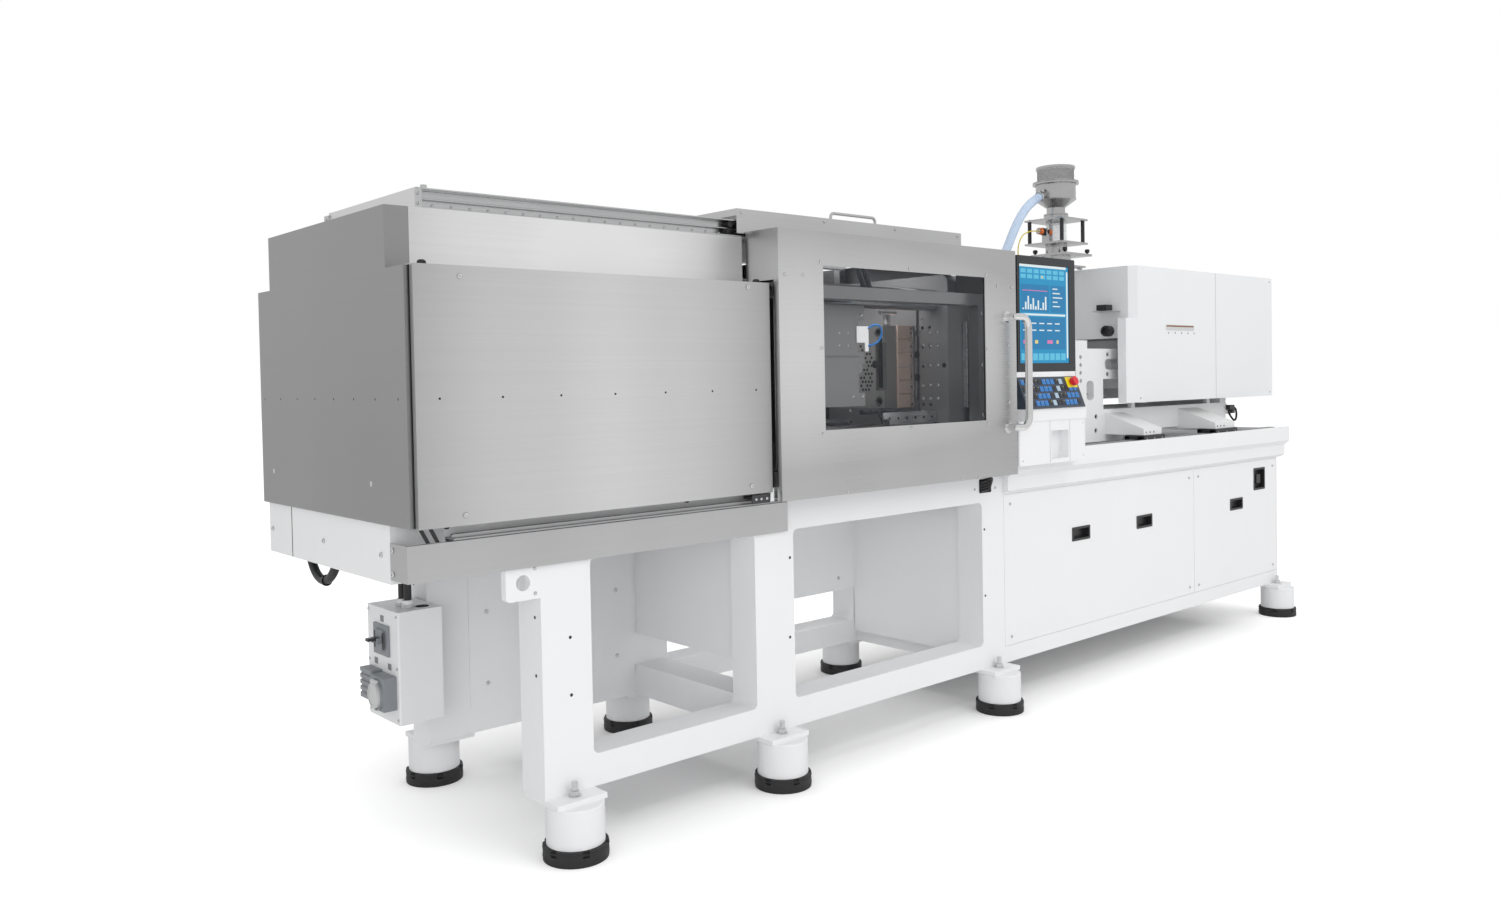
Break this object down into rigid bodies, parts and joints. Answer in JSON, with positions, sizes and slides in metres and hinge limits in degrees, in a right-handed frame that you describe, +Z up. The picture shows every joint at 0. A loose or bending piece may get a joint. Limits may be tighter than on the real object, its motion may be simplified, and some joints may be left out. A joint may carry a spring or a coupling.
{
  "type": "injection moulding machine",
  "caption": "All-electric injection moulding machine with sliding guard doors, toggle clamp, injection unit, operator console and hopper loader.",
  "frame": {"origin": "on the floor, under the middle of the machine's length and width", "axes": "+X from the clamp end towards the injection end, +Y towards the rear side, +Z up"},
  "size_m": [4.79, 1.182, 2.128],
  "materials": {
    "white_frame": "gloss",
    "black_rubber": "matte",
    "white_foot": "gloss",
    "zinc_bolt": "satin",
    "brushed_apron": "brushed",
    "brushed_end": "brushed",
    "brushed_cover": "brushed",
    "rail_steel": "satin",
    "gate_aluminium": "satin",
    "dark_bracket": "satin",
    "platen_grey": "machined",
    "ground_bar": "ground",
    "mould_steel": "ground",
    "brown_plate": "matte",
    "drive_grey": "satin",
    "white_box": "gloss",
    "grey_socket": "matte",
    "black_hose": "matte",
    "white_panel": "gloss",
    "black_pull": "matte",
    "white_rim": "gloss",
    "linear_steel": "ground",
    "white_console": "satin",
    "keyboard_dark": "satin",
    "monitor_grey": "satin",
    "brushed_door": "brushed",
    "window_pane": "clear",
    "brushed_gate": "brushed",
    "moving_grey": "machined",
    "cover_sheet": "satin",
    "ejector_steel": "ground",
    "link_cast": "satin",
    "screw_steel": "ground",
    "black_plastic": "satin",
    "lid_grey": "satin",
    "stop_red": "gloss",
    "white_cast": "satin",
    "shoe_black": "satin",
    "barrel_steel": "satin",
    "white_cover": "gloss",
    "throat_steel": "satin",
    "sight_clear": "clear",
    "loader_steel": "satin",
    "hose_clear": "clear",
    "plate_steel": "ground",
    "cable_yellow": "satin"
  },
  "bodies": {
    "base": {"clamp_frame": "white_frame", "foot_pads": "black_rubber", "foot_cylinders": "white_foot", "anchor_bolts": "zinc_bolt", "apron": "brushed_apron", "end_panel": "brushed_end", "clamp_covers": "brushed_cover", "door_rails": "rail_steel", "gate_rails": "gate_aluminium", "platen_brackets": "dark_bracket", "rear_platen": "platen_grey", "fixed_platen": "platen_grey", "tie_bars": "ground_bar", "fixed_mould": "mould_steel", "insulating_plate": "brown_plate", "clamp_drive": "drive_grey", "power_box": "white_box", "sockets": "grey_socket", "base_hoses": "black_hose", "injection_frame": "white_panel", "skirt_panels": "white_panel", "panel_pulls": "black_pull", "bed_rim": "white_rim", "linear_rails": "linear_steel", "console_box": "white_console", "keyboard": "keyboard_dark", "monitor": "monitor_grey"},
    "front_door": {"front_door": "brushed_door", "front_window": "window_pane"},
    "rear_door": {"rear_door": "brushed_door", "rear_window": "window_pane"},
    "top_gate": {"top_gate": "brushed_gate"},
    "moving_platen": {"moving_platen": "moving_grey", "platen_cover": "cover_sheet", "moving_mould": "mould_steel"},
    "ejector": {"ejector": "ejector_steel"},
    "rear_link_upper": {"rear_links_upper": "link_cast"},
    "rear_link_lower": {"rear_links_lower": "link_cast"},
    "front_link_upper": {"front_links_upper": "link_cast"},
    "front_link_lower": {"front_links_lower": "link_cast"},
    "crosshead": {"crosshead": "link_cast"},
    "cross_link_upper": {"cross_links_upper": "link_cast"},
    "cross_link_lower": {"cross_links_lower": "link_cast"},
    "clamp_screw": {"clamp_screw": "screw_steel"},
    "breaker_lever": {"breaker_lever": "black_plastic"},
    "socket_lid": {"socket_lid": "lid_grey"},
    "stop_button": {"stop_button": "stop_red"},
    "carriage": {"carriage": "white_cast", "bearing_shoes": "shoe_black", "barrel": "barrel_steel", "injection_cover": "white_cover", "hopper_throat": "throat_steel", "sight_glass": "sight_clear", "loader": "loader_steel", "sensor_cable": "cable_yellow", "material_hose": "hose_clear"},
    "injection_plate": {"injection_plate": "plate_steel"},
    "plasticising_screw": {"plasticising_screw": "screw_steel"},
    "hopper_shutter": {"hopper_shutter": "plate_steel"}
  },
  "joints": [
    {"name": "front_door_slide", "type": "slide", "parent": "base", "child": "front_door", "axis": [-1, 0, 0], "range_m": [0, 0.95]},
    {"name": "rear_door_slide", "type": "slide", "parent": "base", "child": "rear_door", "axis": [-1, 0, 0], "range_m": [0, 0.95]},
    {"name": "top_gate_slide", "type": "slide", "parent": "base", "child": "top_gate", "axis": [-1, 0, 0], "range_m": [0, 0.98]},
    {"name": "platen_slide", "type": "slide", "parent": "base", "child": "moving_platen", "axis": [1, 0, 0], "range_m": [0, 0.35]},
    {"name": "ejector_slide", "type": "slide", "parent": "moving_platen", "child": "ejector", "axis": [1, 0, 0], "range_m": [0, 0.1]},
    {"name": "rear_link_upper_pin", "type": "hinge", "parent": "base", "child": "rear_link_upper", "pos_m": [-1.525, -0.055, 1.53], "axis": [0, -1, 0], "range_deg": [0, 96.7]},
    {"name": "rear_link_lower_pin", "type": "hinge", "parent": "base", "child": "rear_link_lower", "pos_m": [-1.525, -0.055, 0.974], "axis": [0, 1, 0], "range_deg": [0, 96.7]},
    {"name": "front_link_upper_pin", "type": "hinge", "parent": "moving_platen", "child": "front_link_upper", "pos_m": [-1.23183, -0.055, 1.488], "axis": [0, 1, 0], "range_deg": [0, 31.7]},
    {"name": "front_link_lower_pin", "type": "hinge", "parent": "moving_platen", "child": "front_link_lower", "pos_m": [-1.23183, -0.055, 1.016], "axis": [0, -1, 0], "range_deg": [0, 31.7]},
    {"name": "crosshead_slide", "type": "slide", "parent": "base", "child": "crosshead", "axis": [1, 0, 0], "range_m": [0, 0.33504]},
    {"name": "cross_link_upper_pin", "type": "hinge", "parent": "crosshead", "child": "cross_link_upper", "pos_m": [-1.75074, -0.055, 1.312], "axis": [0, -1, 0], "range_deg": [0, 58.37]},
    {"name": "cross_link_lower_pin", "type": "hinge", "parent": "crosshead", "child": "cross_link_lower", "pos_m": [-1.75074, -0.055, 1.192], "axis": [0, 1, 0], "range_deg": [0, 58.37]},
    {"name": "clamp_screw_turn", "type": "hinge", "parent": "base", "child": "clamp_screw", "pos_m": [-1.895, -0.055, 1.252], "axis": [1, 0, 0], "range_deg": [0, 6026.81]},
    {"name": "breaker_throw", "type": "hinge", "parent": "base", "child": "breaker_lever", "pos_m": [-2.192, 0.2, 0.492], "axis": [0, 1, 0], "range_deg": [-30, 30]},
    {"name": "socket_lid_hinge", "type": "hinge", "parent": "base", "child": "socket_lid", "pos_m": [-2.218, 0.155, 0.388], "axis": [0, 1, 0], "range_deg": [0, 100], "stiffness_Nm_per_rad": 0.03, "springref_deg": -22.92},
    {"name": "stop_push", "type": "slide", "parent": "base", "child": "stop_button", "axis": [0, 0.9312, -0.3644], "range_m": [0, 0.004], "stiffness_N_per_m": 600},
    {"name": "carriage_slide", "type": "slide", "parent": "base", "child": "carriage", "axis": [1, 0, 0], "range_m": [-0.065, 0.25], "deforming": ["material_hose"]},
    {"name": "injection_slide", "type": "slide", "parent": "carriage", "child": "injection_plate", "axis": [1, 0, 0], "range_m": [0, 0.13]},
    {"name": "screw_turn", "type": "hinge", "parent": "injection_plate", "child": "plasticising_screw", "pos_m": [0.605, -0.055, 1.252], "axis": [1, 0, 0], "continuous": true},
    {"name": "shutter_slide", "type": "slide", "parent": "carriage", "child": "hopper_shutter", "axis": [1, 0, 0], "range_m": [0, 0.062]}
  ],
  "couplings": [
    {"joint": "rear_link_upper_pin", "follows": "platen_slide", "rad_per_m": 4.812},
    {"joint": "rear_link_lower_pin", "follows": "platen_slide", "rad_per_m": 4.812},
    {"joint": "front_link_upper_pin", "follows": "platen_slide", "rad_per_m": 1.5709},
    {"joint": "front_link_lower_pin", "follows": "platen_slide", "rad_per_m": 1.5709},
    {"joint": "crosshead_slide", "follows": "platen_slide", "ratio": 0.95584},
    {"joint": "cross_link_upper_pin", "follows": "platen_slide", "rad_per_m": 2.9006},
    {"joint": "cross_link_lower_pin", "follows": "platen_slide", "rad_per_m": 2.9006},
    {"joint": "clamp_screw_turn", "follows": "platen_slide", "rad_per_m": 300.29}
  ]
}
